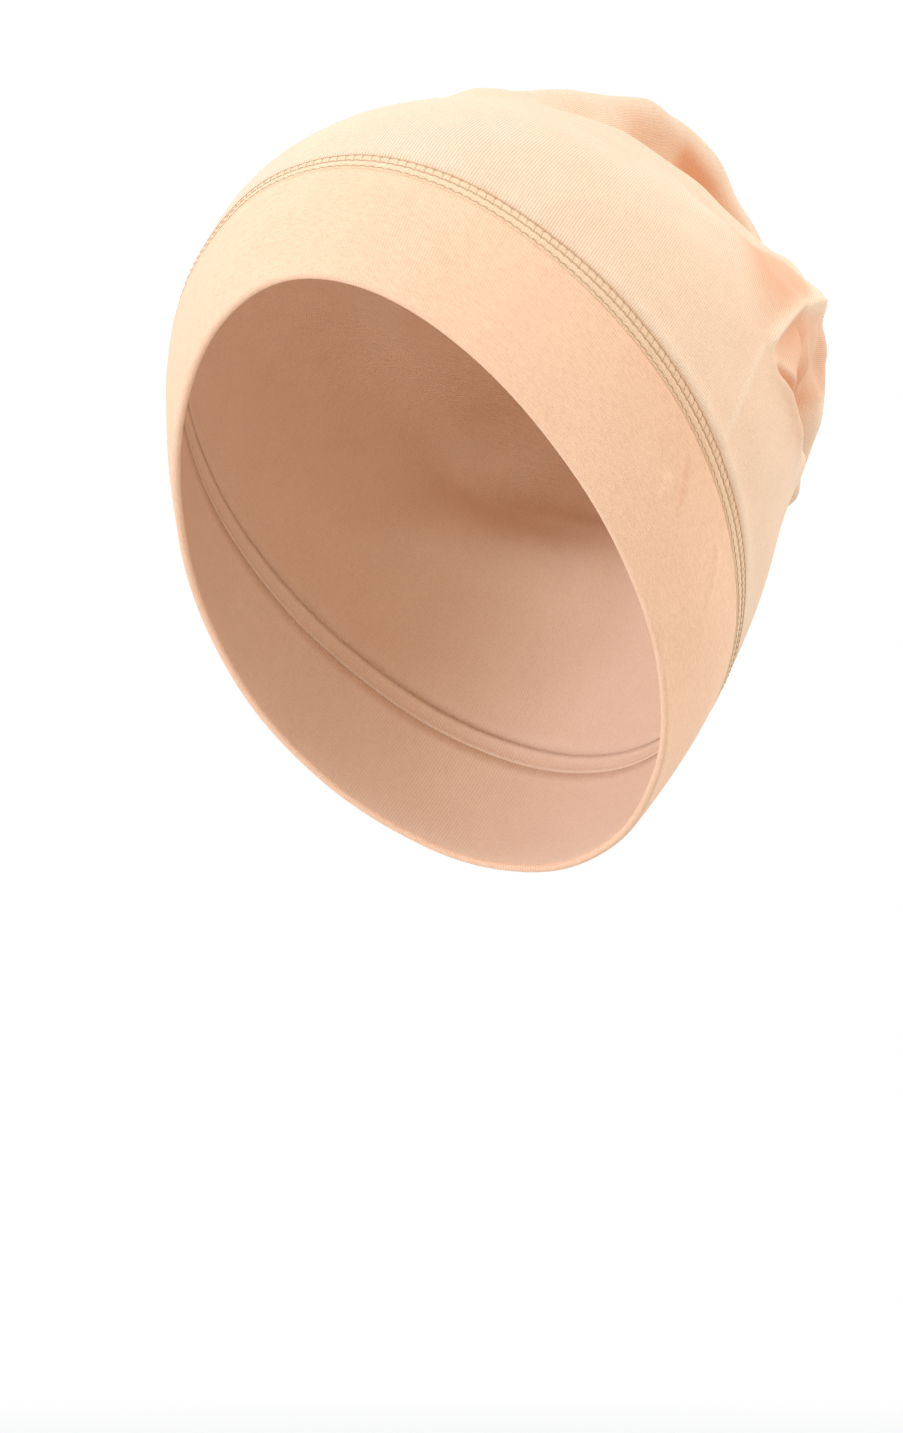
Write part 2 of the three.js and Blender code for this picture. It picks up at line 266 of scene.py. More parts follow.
def plain(along, turn):
    """Points of the smooth form, before its folds."""
    along, turn = np.broadcast_arrays(np.asarray(along, float), np.asarray(turn, float))
    hoop = hoop_at(along)
    none = np.zeros_like(along)
    top = np.stack([hoop["shiftX"], hoop["topY"], hoop["topZ"] - SEAT_ABOVE_RIM], -1)
    low = np.stack([hoop["shiftX"], hoop["lowY"], hoop["lowZ"] - SEAT_ABOVE_RIM], -1)
    tall = np.linalg.norm(top - low, axis=-1)
    upward = (top - low) / np.maximum(tall, 1e-9)[..., None]
    out_of_plane = np.stack([none, upward[..., 2], -upward[..., 1]], -1)
    cos, sin = np.cos(turn), np.sin(turn)
    pinch = np.where(cos > 0, hoop["topPinch"], hoop["lowPinch"])
    draw_in = 1 - pinch * np.sin(2 * turn) ** 2
    half = np.where(sin > 0, hoop["left"], hoop["right"])
    rise = cos * draw_in * tall / 2 + sin ** 2 * (hoop["lift"] - np.where(sin > 0, hoop["sink"], 0))
    point = (top + low) / 2 + upward * rise[..., None]
    point = point + out_of_plane * (sin ** 2 * hoop["lean"])[..., None]
    point[..., 0] += sin * draw_in * half
    return point


def normal_of(surface, along, turn, step=0.5):
    """Outward normals of a surface that is given as a function of along and turn."""
    ahead = surface(np.minimum(along + step, CROWN_END - 0.01), turn)
    behind = surface(np.maximum(along - step, 0), turn)
    aside = step / CAP_RADIUS
    around = surface(along, turn + aside) - surface(along, turn - aside)
    normal = np.cross(around, ahead - behind)
    return normal / np.maximum(np.linalg.norm(normal, axis=-1), 1e-9)[..., None]


def fold_path(fold, count=24):
    """Points of the plain form along a fold's smooth course through its three places."""
    t = np.linspace(0, 1, count + 1)
    value = {}
    for name in ("along", "turn"):
        a, b, c = (fold[name + end] for end in "123")
        value[name] = (1 - t) ** 2 * a + 2 * t * (1 - t) * (2 * b - (a + c) / 2) + t ** 2 * c
    return plain(value["along"], np.radians(value["turn"]))


def fold_heights(points, normals, rows):
    """How far the folds raise the cloth at each point of the plain form, and their painted shade."""
    flat = points.reshape(-1, 3)
    up = normals.reshape(-1, 3)
    total = np.zeros(len(flat))
    shade = np.zeros(len(flat))
    for row in rows:
        fold = dict(zip(FOLD_COLUMNS, row))
        path = fold_path(fold)
        reach = FOLD_REACH * max(fold["before"], fold["behind"])
        inside = ((flat > path.min(0) - reach) & (flat < path.max(0) + reach)).all(1)
        near = np.flatnonzero(inside)
        if not len(near):
            continue
        best = np.full(len(near), 1e9)
        place = np.zeros(len(near))
        side = np.zeros(len(near))
        for i in range(len(path) - 1):
            stretch = path[i + 1] - path[i]
            away = flat[near] - path[i]
            share = np.clip(away @ stretch / (stretch @ stretch), 0, 1)
            away = away - share[:, None] * stretch
            distance = np.linalg.norm(away, axis=1)
            closer = distance < best
            best[closer] = distance[closer]
            place[closer] = (i + share[closer]) / (len(path) - 1)
            turned = np.einsum("ij,ij->i", np.cross(away, stretch), up[near])
            side[closer] = turned[closer]
        width = np.where(side > 0, fold["behind"], fold["before"])
        ends = smooth(place / fold["fade"]) * smooth((1 - place) / fold["fade"])
        share = ends * np.exp(-(best / width) ** fold["crest"])
        total[near] += fold["height"] * share
        shade[near] += fold["shade"] * share
    return total.reshape(points.shape[:-1]), shade.reshape(points.shape[:-1])


def waves(along, turn, seed, size, count):
    """A soft uneven field between about -1 and 1, the same each time, closed round the cap."""
    source = np.random.default_rng(seed)
    total = np.zeros(np.broadcast(along, turn).shape)
    for _ in range(count):
        rounds = int(source.integers(1, max(2, int(600 / size))))
        pitch = size * source.uniform(0.7, 2.2)
        phases = source.uniform(0, 2 * math.pi, 2)
        total += np.cos(rounds * turn + phases[0]) * np.cos(2 * math.pi * along / pitch + phases[1])
    return total / math.sqrt(count)


def relief(along, turn):
    """Small unevenness: puckers beside the seam, and the gathers that close the pouch."""
    past = np.maximum(along - BAND_DEPTH - SEAM_WIDTH, 0)
    before = np.maximum(BAND_DEPTH - along, 0)
    beside = np.where(along > BAND_DEPTH + SEAM_WIDTH / 2, past, before)
    pucker = waves(0 * along, turn, seed=5, size=9, count=10)
    pucker = pucker * np.exp(-beside / PUCKER_REACH) * smooth(beside / 2)
    uneven = waves(along, turn, seed=11, size=34, count=14)
    drawn = smooth((along - GATHER_FROM) / GATHER_OVER) * smooth((CROWN_END + 4 - along) / 12)
    pleats = 1.5 * np.abs(np.cos(5.5 * turn + 0.5 * np.sin(2 * turn))) - 0.8
    pleats = pleats + 0.6 * np.cos(17 * turn + 1)
    sunk = smooth((along - DIMPLE_FROM) / DIMPLE_OVER)
    return PUCKER * pucker + UNEVEN * uneven + GATHER * drawn * pleats - DIMPLE * sunk ** 2


def raised_form(along, turn):
    """Points and normals of the plain form, how far the cloth rises there, and the painted shade of its
    folds.
    """
    along, turn = np.broadcast_arrays(np.asarray(along, float), np.asarray(turn, float))
    points = plain(along, turn)
    normals = normal_of(plain, along, turn)
    height, shade = fold_heights(points, normals, ALL_FOLDS)
    return points, normals, height + relief(along, turn), shade


def cloth(along, turn):
    """Points on the outside of the cloth, with its folds, and the folds' painted shade."""
    points, normals, raised, shade = raised_form(along, turn)
    return points + normals * raised[..., None], shade


def lining(along, turn, wall):
    """Points on the inside of the cloth, in fewer rows and columns. Each lies under the lowest
    place of the outside around it, so that no deep fold comes through."""
    points, normals, raised, _ = raised_form(along, turn)
    lowest = raised.copy()
    for step in range(1, INNER_ROWS // 2 + 1):
        lowest[step:] = np.minimum(lowest[step:], raised[:-step])
        lowest[:-step] = np.minimum(lowest[:-step], raised[step:])
    lowest = np.minimum(lowest, np.minimum(np.roll(lowest, 1, 1), np.roll(lowest, -1, 1)))
    return (points + normals * (lowest - wall)[..., None])[::INNER_ROWS, ::INNER_COLUMNS]


def column_turns(count):
    """The turn of each column. Columns stand closer on the side with the folds."""
    crowded = math.radians(CROWDED_TURN)
    even = crowded + 2 * math.pi * np.arange(count) / count
    return even - CROWDING * np.sin(even - crowded)


def row_places(start, end, count):
    """Where the crown's rows run. They stand closer where the folds are."""
    fine = np.linspace(start, end, 800)
    close = smooth((fine - CLOSE_FROM) / 16) * smooth((CLOSE_TO - fine) / 16)
    weight = np.cumsum(1 + (CLOSENESS - 1) * close)
    weight = (weight - weight[0]) / (weight[-1] - weight[0])
    return np.interp(np.linspace(0, 1, count + 1), weight, fine)


# The knitting's columns run square to the plane of the seam, and turn to follow the cloth
# over the pouch
KNIT_FRONT = np.array([0, -0.598, 0.803])
KNIT_CENTRE = np.array([0, 11.4, -102.6])
KNIT_TURNS_FROM, KNIT_TURNS_OVER = 140, 90


def wale_turn(points, along, turn):
    """The angle that tells which column of knitting a point lies on. Closed round the cap."""
    away = points - KNIT_CENTRE
    angle = np.arctan2(away[..., 0], away @ KNIT_FRONT)
    gap = (angle - turn + math.pi) % (2 * math.pi) - math.pi
    return turn + gap * (1 - smooth((along - KNIT_TURNS_FROM) / KNIT_TURNS_OVER))


def wale_uv(points, along, turn):
    """Column and row of knitting at each point."""
    return np.stack([wale_turn(points, along, turn) * WALES / (2 * math.pi), along / COURSE], -1)


class Body:
    """Gathers the points, faces and knitting of one mesh."""

    def __init__(self):
        self.points = []
        self.shades = []
        self.faces = []
        self.uv = []
        self.inside = []
        self.count = 0

    def add_points(self, points, shade=0):
        """Adds points, with any painted shade at each, and returns their numbers."""
        start = self.count
        flat = points.reshape(-1, 3)
        self.points.append(flat)
        self.shades.append(np.broadcast_to(shade, points.shape[:-1]).ravel())
        self.count += len(flat)
        return np.arange(start, self.count).reshape(points.shape[:-1])

    def add_faces(self, corners, uv, inside=False):
        """Adds faces of three or four corners, with the knitting's place at each corner."""
        self.faces.extend(corners.reshape(-1, corners.shape[-1]).tolist())
        self.uv.append(uv.reshape(-1, 2))
        self.inside.extend([inside] * (corners.size // corners.shape[-1]))

    def add_sheet(self, numbers, uv, flip=False, inside=False):
        """Quads between rows that run round the cap. uv has one more column, for the wrap."""
        wrapped = np.concatenate([numbers, numbers[:, :1]], 1)
        order = ((0, 0), (0, 1), (1, 1), (1, 0))
        if flip:
            order = order[::-1]
        rows, columns = numbers.shape
        corners = [wrapped[r:rows - 1 + r, c:columns + c] for r, c in order]
        places = [uv[r:rows - 1 + r, c:columns + c] for r, c in order]
        self.add_faces(np.stack(corners, -1), np.stack(places, 2), inside)

    def build(self, name, materials):
        """Makes the mesh object, in metres."""
        mesh = bpy.data.meshes.new(name)
        mesh.from_pydata(np.concatenate(self.points) / 1000, [], self.faces)
        layer = mesh.uv_layers.new(name="knit")
        layer.data.foreach_set("uv", np.concatenate(self.uv).astype(np.float32).ravel())
        # The folds' painted shade at each point, for the material to darken the colour with
        tone = mesh.attributes.new("painted_fold_shade", "FLOAT", "POINT")
        tone.data.foreach_set("value", np.clip(np.concatenate(self.shades), 0, 1).astype(np.float32))
        for material in materials:
            mesh.materials.append(material)
        if len(materials) > 1:
            slots = np.array(self.inside, dtype=np.int32)
            mesh.polygons.foreach_set("material_index", slots)
        mesh.polygons.foreach_set("use_smooth", np.ones(len(mesh.polygons), bool))
        mesh.validate()
        mesh.update()
        made = bpy.data.objects.new(name, mesh)
        bpy.context.scene.collection.objects.link(made)
        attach(made, "root")
        return made


def grid_normals(points):
    """Outward normals of rows of points that run round the cap, from their neighbours."""
    around = np.roll(points, -1, 1) - np.roll(points, 1, 1)
    along = np.empty_like(points)
    along[1:-1] = points[2:] - points[:-2]
    along[0] = points[1] - points[0]
    along[-1] = points[-1] - points[-2]
    normal = np.cross(around, along)
    return normal / np.maximum(np.linalg.norm(normal, axis=-1), 1e-9)[..., None]


def wrapped_uv(along, turn):
    """Knitting places of rows and columns, with one more column for the wrap."""
    turns = np.concatenate([turn, turn[:1] + 2 * math.pi])
    along, turns = np.broadcast_arrays(along[:, None], turns[None])
    return wale_uv(plain(along, turns), along, turns)


def node_tree(material):
    """Clears a material's nodes, and returns two helpers that add and join nodes."""
    material.use_nodes = True
    tree = material.node_tree
    tree.nodes.clear()

    def add(kind, **settings):
        made = tree.nodes.new(kind)
        for key, value in settings.items():
            setattr(made, key, value)
        return made

    def join(source, target):
        tree.links.new(source, target)

    return add, join


def calculator(add, join):
    """A helper that works out one number from others in the node tree."""

    def math_node(operation, *values, clamp=False):
        made = add("ShaderNodeMath", operation=operation, use_clamp=clamp)
        for place, value in enumerate(values):
            if isinstance(value, (int, float)):
                made.inputs[place].default_value = value
            else:
                join(value, made.inputs[place])
        return made.outputs[0]

    return math_node


def mix_colors(add, join, factor, first, second):
    """A colour between two others."""
    made = add("ShaderNodeMix", data_type="RGBA")
    for place, value in ((0, factor), (6, first), (7, second)):
        if isinstance(value, (int, float)):
            made.inputs[place].default_value = value
        elif isinstance(value, tuple):
            made.inputs[place].default_value = (*value, 1)
        else:
            join(value, made.inputs[place])
    return made.outputs[2]


def noise(add, join, place, scale, detail=2, roughness=0.5):
    """A soft uneven value at each place."""
    made = add("ShaderNodeTexNoise", noise_dimensions="3D")
    made.inputs["Scale"].default_value = scale
    made.inputs["Detail"].default_value = detail
    made.inputs["Roughness"].default_value = roughness
    join(place, made.inputs["Vector"])
    return made.outputs[0]


def knit_place(add, join):
    """The place across and along the knitting or the thread, from the mesh's own map."""
    apart = add("ShaderNodeSeparateXYZ")
    join(add("ShaderNodeUVMap", uv_map="knit").outputs[0], apart.inputs[0])
    return apart.outputs[0], apart.outputs[1]


def fibre_surface(add, join, color, height, bump, depth, look):
    """Ends a material: one rough surface with a colour, fine relief and the shader's values."""
    lift = add("ShaderNodeBump")
    lift.inputs["Strength"].default_value = bump
    lift.inputs["Distance"].default_value = depth
    join(height, lift.inputs["Height"])
    surface = add("ShaderNodeBsdfPrincipled")
    for key, value in look.items():
        surface.inputs[key].default_value = value
    join(color, surface.inputs["Base Color"])
    join(lift.outputs[0], surface.inputs["Normal"])
    output = add("ShaderNodeOutputMaterial")
    join(surface.outputs[0], output.inputs["Surface"])


def jersey(name, light, deep, contrast=1.0, bump=0.5, streaks=0.12, left_fade=0.0, inside=False):
    """Fine knitting: ribs of slanting loops with grooves between, painted darker as shade in them,
    fibres, thick places in the yarn that run round the cap, soft mottling, and the folds' painted
    shade. left_fade: how much of the grooves' painted shade is lost over the wearer's left side,
    where the cloth is pulled tight and the light falls flatter."""
    material = bpy.data.materials.new(name)
    add, join = node_tree(material)
    calc = calculator(add, join)
    across, length = knit_place(add, join)
    place = add("ShaderNodeTexCoord").outputs["Object"]

    def past(start, over):
        """Rises from 0 to 1 over a stretch of the cloth."""
        return calc("MULTIPLY_ADD", length, COURSE / over, -start / over, clamp=True)

    # Coarser ribs take over where the cloth is drawn together
    drawn = past(HALF_RIBS_FROM, HALF_RIBS_OVER)
    closed = past(QUARTER_RIBS_FROM, QUARTER_RIBS_OVER)

    def ribs(share):
        """The height of the ribs, and of the loops on them, for a share of all the ribs."""
        cycle = calc("FRACT", calc("MULTIPLY", across, share))
        edge = calc("MULTIPLY", calc("ABSOLUTE", calc("SUBTRACT", cycle, 0.5)), 2)
        round_top = calc("SUBTRACT", 1, calc("POWER", edge, 2.2))
        slant = calc("MULTIPLY_ADD", edge, 0.8, length)
        loop = calc("SINE", calc("MULTIPLY", slant, 2 * math.pi))
        return calc("MULTIPLY", round_top, calc("MULTIPLY_ADD", loop, 0.14, 0.86))

    one, half, quarter = ribs(1), ribs(0.5), ribs(0.25)
    wide = calc("ADD", calc("MULTIPLY", one, calc("SUBTRACT", 1, drawn)), calc("MULTIPLY", half, drawn))
    height = calc("ADD", calc("MULTIPLY", wide, calc("SUBTRACT", 1, closed)),
                  calc("MULTIPLY", quarter, closed))

    fibre = noise(add, join, place, FIBRE_SCALE)
    mottle = noise(add, join, place, MOTTLE_SCALE, detail=4)

    # The yarn's thick places are long round the cap and as thin as a row of knitting
    angle = calc("MULTIPLY", across, 2 * math.pi / WALES)
    ring = add("ShaderNodeCombineXYZ")
    join(calc("MULTIPLY", calc("COSINE", angle), STREAKS_ROUND), ring.inputs[0])
    join(calc("MULTIPLY", calc("SINE", angle), STREAKS_ROUND), ring.inputs[1])
    join(calc("MULTIPLY", length, STREAKS_ALONG), ring.inputs[2])
    slub = noise(add, join, ring.outputs[0], 1, detail=3, roughness=0.65)

    # Painted shade in the grooves is weaker at the wearer's left, behind the seam, where the cloth is
    # tightest and the light falls flatter
    leftness = calc("MULTIPLY_ADD", calc("SINE", angle), 2.2, -1.2, clamp=True)
    depth = calc("MULTIPLY_ADD", leftness, -left_fade * contrast, contrast)
    # The grooves between the ribs are painted darker as shade in them; the yarn's thick places, fibres
    # and mottling are its own uneven tone
    rib = calc("SUBTRACT", 1, calc("MULTIPLY", calc("SUBTRACT", 1, height), depth))
    rib = calc("MULTIPLY_ADD", calc("SUBTRACT", slub, 0.5), 4 * streaks, rib)
    shade = calc("MULTIPLY_ADD", calc("SUBTRACT", fibre, 0.5), FIBRE_TONE, rib)
    shade = calc("MULTIPLY_ADD", calc("SUBTRACT", mottle, 0.5), MOTTLE_TONE, shade, clamp=True)
    color = mix_colors(add, join, shade, deep, light)
    # The folds' painted shade, kept on the mesh, darkens the colour where the folds stand in shade
    painted_shade_mix = add("ShaderNodeMix", data_type="RGBA", blend_type="MULTIPLY")
    join(add("ShaderNodeAttribute", attribute_name="painted_fold_shade").outputs["Fac"], painted_shade_mix.inputs[0])
    join(color, painted_shade_mix.inputs[6])
    painted_shade_mix.inputs[7].default_value = (*PAINTED_SHADE_TINT, 1)
    color = painted_shade_mix.outputs[2]

    look = {
        "Roughness": 0.88,
        "Specular IOR Level": 0.2,
        "Sheen Weight": 0.12 if inside else 0.22,
        "Sheen Roughness": 0.45,
        "Sheen Tint": (1, 0.9, 0.8, 1),
    }
    height = calc("MULTIPLY_ADD", fibre, 0.35, height)
    fibre_surface(add, join, color, height, bump, RIB_DEPTH, look)
    return material


def spun_thread(name, light, deep):
    """Sewing thread: two plies twisted together, with short loose fibres."""
    material = bpy.data.materials.new(name)
    add, join = node_tree(material)
    calc = calculator(add, join)
    around, length = knit_place(add, join)
    twist = calc("ADD", around, calc("MULTIPLY", length, THREAD_TWIST))
    ply = calc("ABSOLUTE", calc("SINE", calc("MULTIPLY", twist, math.pi)))
    fibre = noise(add, join, add("ShaderNodeTexCoord").outputs["Object"], THREAD_FIBRE_SCALE)
    height = calc("MULTIPLY_ADD", fibre, 0.4, ply)
    # Between the plies the colour is painted darker as shade; the fibres are the thread's own uneven
    # tone
    color = mix_colors(add, join, calc("MULTIPLY", height, 0.8, clamp=True), deep, light)
    look = {"Roughness": 0.7, "Specular IOR Level": 0.3, "Sheen Weight": 0.15}
    fibre_surface(add, join, color, height, 0.6, PLY_DEPTH, look)
    return material


# Linear colours: what the deepest folds keep of the cloth's colour under their painted shade,
# then the ribs' tops and the grooves between them for each cloth, and the same for the thread's
# plies. The grooves' and the plies' darker colour is partly painted shade in them and partly the
# dark end of the yarn's own uneven tone.
PAINTED_SHADE_TINT = (0.84, 0.5, 0.34)
CROWN_LIGHT = (1, 0.745, 0.53)
CROWN_DEEP = (0.72, 0.455, 0.28)
BAND_LIGHT = (1, 0.64, 0.415)
BAND_DEEP = (0.79, 0.44, 0.26)
SEAM_LIGHT = (0.95, 0.68, 0.44)
SEAM_DEEP = (0.7, 0.46, 0.27)
INNER_LIGHT = (0.96, 0.69, 0.49)
INNER_DEEP = (0.76, 0.47, 0.3)
THREAD_LIGHT = (0.68, 0.44, 0.25)
THREAD_DEEP = (0.46, 0.275, 0.145)

crown_knit = jersey("crown_jersey", CROWN_LIGHT, CROWN_DEEP, contrast=1.05, left_fade=0.4)
band_knit = jersey("band_jersey", BAND_LIGHT, BAND_DEEP, contrast=0.55, bump=0.4, streaks=0.36)
seam_knit = jersey("seam_jersey", SEAM_LIGHT, SEAM_DEEP, contrast=0.5, streaks=0.2)
inner_knit = jersey("inner_jersey", INNER_LIGHT, INNER_DEEP, contrast=0.5, inside=True)
thread = spun_thread("seam_thread", THREAD_LIGHT, THREAD_DEEP)


def build_crown():
    """The crown: the outside, a coarser inside, the edge at the seam and both closed ends."""
    turn = column_turns(CROWN_COLUMNS)
    along = row_places(BAND_DEPTH + SEAM_WIDTH - LAP, CROWN_STOP, CROWN_ROWS)
    outside, shade = cloth(along[:, None], turn[None])
    normals = grid_normals(outside)
    outside[0] -= LAP_SINK * normals[0]
    inside = lining(along[:, None], turn[None], CROWN_WALL)
    body = Body()
    outer = body.add_points(outside, shade)
    inner = body.add_points(inside)
    uv = wrapped_uv(along, turn)
    body.add_sheet(outer, uv)
    inner_uv = uv[::INNER_ROWS, ::INNER_COLUMNS]
    body.add_sheet(inner, inner_uv, flip=True, inside=True)

    # The edge at the seam joins two outer columns to each inner one
    ring = np.append(outer[0], outer[0][0])
    small = np.append(inner[0], inner[0][0])
    first, middle, last = ring[0:-1:2], ring[1::2], ring[2::2]
    for corners in ((middle, first, small[:-1]), (small[1:], middle, small[:-1]),
                    (last, middle, small[1:])):
        faces = np.stack(corners, -1)
        body.add_faces(faces, np.repeat(inner_uv[0, :-1, None], 3, 1), inside=True)

    # The outside and the inside each close in a point at the pouch's end
    for numbers, points, order, within in ((outer, outside, 1, False), (inner, inside, -1, True)):
        tip = body.add_points(points[-1].mean(0)[None])[0]
        ring = np.append(numbers[-1], numbers[-1][0])
        corners = np.stack([ring[:-1], ring[1:], np.full(len(ring) - 1, tip)], -1)[:, ::order]
        spots = uv[-1, ::INNER_COLUMNS] if within else uv[-1]
        body.add_faces(corners, np.repeat(spots[:-1, None], 3, 1), inside=within)
    made = body.build("turban_crown", [crown_knit, inner_knit])
    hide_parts("crown")


def build_band():
    """The band: two layers with a rounded fold at the rim."""
    turn = column_turns(BAND_COLUMNS)
    radius = BAND_WALL / 2
    edge = BAND_DEPTH + LAP
    rise = radius + (edge - radius) * np.linspace(0, 1, BAND_ROWS + 1)
    outside, shade = cloth(rise[:, None], turn[None])
    normals = grid_normals(outside)
    outside[-1] -= LAP_SINK * normals[-1]
    inside = outside - BAND_WALL * normals
    body = Body()
    outer = body.add_points(outside, shade)
    uv = wrapped_uv(rise, turn)
    body.add_sheet(outer, uv)
    inner = body.add_points(inside[::INNER_ROWS])
    body.add_sheet(inner, uv[::INNER_ROWS], flip=True, inside=True)

    # The fold at the rim is a half circle from the outside to the inside
    down = outside[0] - outside[1]
    down = down / np.linalg.norm(down, axis=-1)[:, None]
    centre = outside[0] - radius * normals[0]
    angles = np.linspace(0, math.pi, RIM_STEPS + 1)[1:-1]
    ways = [math.cos(angle) * normals[0] + math.sin(angle) * down for angle in angles]
    rim = body.add_points(np.stack([centre + radius * way for way in ways]))
    loop = np.concatenate([inner[:1], rim[::-1], outer[:1]])
    steps = np.array([0, *(-radius * a for a in angles), -radius * math.pi])
    loop_uv = np.repeat(uv[:1], len(loop), 0)
    loop_uv[..., 1] += (steps[::-1] / COURSE)[:, None]
    body.add_sheet(loop, loop_uv)
    top = np.stack([outer[-1], inner[-1]])
    body.add_sheet(top, np.repeat(uv[-1:], 2, 0), inside=True)
    made = body.build("turban_band", [band_knit, inner_knit])
    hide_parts("front_band")


BAND_THREAD, MIDDLE_THREAD, CROWN_THREAD = (BAND_DEPTH + SEAM_WIDTH / 2 + step for step in ROW_STEPS)


def measure_seam():
    """Turns round the middle row, the distance over the cloth to each, and the count of
    stitches that fit."""
    turns = np.linspace(0, 2 * math.pi, 4001)
    ring = plain(MIDDLE_THREAD, turns)
    distances = np.concatenate([[0], np.cumsum(np.linalg.norm(np.diff(ring, axis=0), axis=1))])
    return turns, distances, round(distances[-1] / STITCH)


SEAM_TURNS, SEAM_DISTANCES, STITCHES = measure_seam()


def turn_at(stitch):
    """The turn at a place counted in stitches from the front."""
    distance = np.asarray(stitch) / STITCHES * SEAM_DISTANCES[-1]
    return np.interp(distance, SEAM_DISTANCES, SEAM_TURNS)


def near_hole(stitch, length):
    """1 at each stitch hole, and less with distance. length: a share of a stitch."""
    phase = stitch - np.floor(stitch)
    return np.exp(-(np.minimum(phase, 1 - phase) / length) ** 2)


def seam_surface(across, stitch):
    """Points and normals of the pressed strip, with the thread rows' grooves and holes."""
    across, stitch = np.broadcast_arrays(np.asarray(across, float), np.asarray(stitch, float))
    points, normals, raised, _ = raised_form(across, turn_at(stitch))
    depth = GROOVE + HOLE_DIP * near_hole(stitch, STRIP_HOLE)
    for place in (BAND_THREAD, MIDDLE_THREAD, CROWN_THREAD):
        raised = raised - depth * np.exp(-((across - place) / GROOVE_WIDTH) ** 2)
    between = np.cos(2 * math.pi * (across - MIDDLE_THREAD) / STRIP_WAVE_PITCH)
    raised = raised - STRIP_WAVE * between
    return points + normals * (raised + STRIP_RISE)[..., None], normals


def build_strip():
    """The flat strip of joined layers that the stitching holds."""
    stitch = np.arange(STITCHES * STRIP_STEPS) / STRIP_STEPS
    across = np.linspace(BAND_DEPTH - STRIP_LAP, BAND_DEPTH + SEAM_WIDTH + STRIP_LAP, STRIP_ROWS)
    outside, normals = seam_surface(across[:, None], stitch[None])
    outside[0] -= STRIP_SINK * normals[0]
    outside[-1] -= STRIP_SINK * normals[-1]
    inside = outside - SEAM_WALL * normals
    turns = turn_at(stitch)
    spots = plain(across[:, None], turns[None])
    # The folds' painted shade on the strip, stronger than on the crown
    tone = STRIP_PAINTED_SHADE * fold_heights(spots, normals, FOLDS)[1]
    body = Body()
    outer = body.add_points(outside, tone)
    inner = body.add_points(inside[::INNER_ROWS])
    uv = wrapped_uv(across, turns)
    body.add_sheet(outer, uv)
    body.add_sheet(inner, uv[::INNER_ROWS], flip=True, inside=True)
    body.add_sheet(np.stack([inner[0], outer[0]]), np.repeat(uv[:1], 2, 0), inside=True)
    body.add_sheet(np.stack([outer[-1], inner[-1]]), np.repeat(uv[-1:], 2, 0), inside=True)
    made = body.build("turban_seam", [seam_knit, inner_knit])
    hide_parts("cover_seam")


def thread_tube(body, points, normals, radius, closed, sides=THREAD_SIDES):
    """Adds a thread along a path on the cloth. radius may vary along it."""
    if closed:
        ahead = np.roll(points, -1, 0) - np.roll(points, 1, 0)
    else:
        ahead = np.gradient(points, axis=0)
    ahead = ahead / np.linalg.norm(ahead, axis=1)[:, None]
    beside = np.cross(ahead, normals)
    beside = beside / np.linalg.norm(beside, axis=1)[:, None]
    above = np.cross(beside, ahead)
    radius = np.broadcast_to(radius, len(points))[:, None]
    angles = 2 * math.pi * np.arange(sides) / sides
    ways = [math.cos(angle) * above + math.sin(angle) * beside for angle in angles]
    numbers = body.add_points(np.stack([points + radius * way for way in ways], 1))
    length = np.concatenate([[0], np.cumsum(np.linalg.norm(np.diff(points, axis=0), axis=1))])
    if closed:
        numbers = np.concatenate([numbers, numbers[:1]])
        length = np.append(length, length[-1] + np.linalg.norm(points[0] - points[-1]))
    u = np.arange(sides + 1) / sides * 2
    uv = np.stack(np.broadcast_arrays(u[None], length[:, None]), -1)
    body.add_sheet(numbers, uv)
    if not closed:
        for ring, order in ((numbers[0], -1), (numbers[-1], 1)):
            fan = np.stack([np.full(sides - 2, ring[0]), ring[1:-1], ring[2:]], -1)[:, ::order]
            body.add_faces(fan, np.zeros((len(fan), 3, 2)))


def seam_path(across, stitch, height):
    """Points at a height over the strip, and its normals."""
    points, normals = seam_surface(across, stitch)
    return points + normals * np.asarray(height)[..., None], normals


def build_threads():
    """The rows of thread on the outside of the seam, and the short threads between them."""
    body = Body()
    stitch = np.arange(STITCHES * THREAD_STEPS) / THREAD_STEPS
    phase = stitch % 1
    hole = near_hole(stitch, THREAD_HOLE)
    loop = np.sin(math.pi * phase)

    # Crown side: straight stitches, thicker where they go down at their holes
    straight = CROWN_THREAD + 0.08 * (phase - 0.5)
    points, normals = seam_path(straight, stitch, 0.1 - 0.02 * hole)
    thread_tube(body, points, normals, THREAD_RADIUS + HOLE_SWELL * hole, closed=True)

    # Middle: bowed stitches whose ends hook towards the rim
    bowed = MIDDLE_THREAD + 0.22 * loop - 0.34 * phase ** 3
    under = 0.3 * np.exp(-((phase - 0.97) / 0.05) ** 2)
    points, normals = seam_path(bowed, stitch + HOOK, LOOP_LIFT - under)
    thread_tube(body, points, normals, MIDDLE_RADIUS + LOOP_SWELL * loop, closed=True)

    # Band side: scallops that step towards the rim once in each stitch
    bowed = BAND_THREAD + 0.5 * loop - 0.3
    points, normals = seam_path(bowed - 0.2 * (phase - 0.5), stitch + HOOK, LOOP_LIFT)
    thread_tube(body, points, normals, THREAD_RADIUS + LOOP_SWELL * loop, closed=True)

    # Short threads across, from the holes of the crown side to the hooks in the middle
    share = np.linspace(0, 1, RUNG_POINTS)
    across = CROWN_THREAD + (MIDDLE_THREAD - 0.3 - CROWN_THREAD) * share
    arch = np.sin(math.pi * share)
    for number in range(STITCHES):
        sway = 0.05 * math.sin(2.4 * number) + 0.04 * math.sin(5.1 * number)
        spot = number + HOOK * share + sway * arch
        points, normals = seam_path(across, spot, 0.02 + 0.06 * arch)
        thread_tube(body, points, normals, THREAD_RADIUS, closed=False, sides=RUNG_SIDES)
    made = body.build("seam_stitches", [thread])


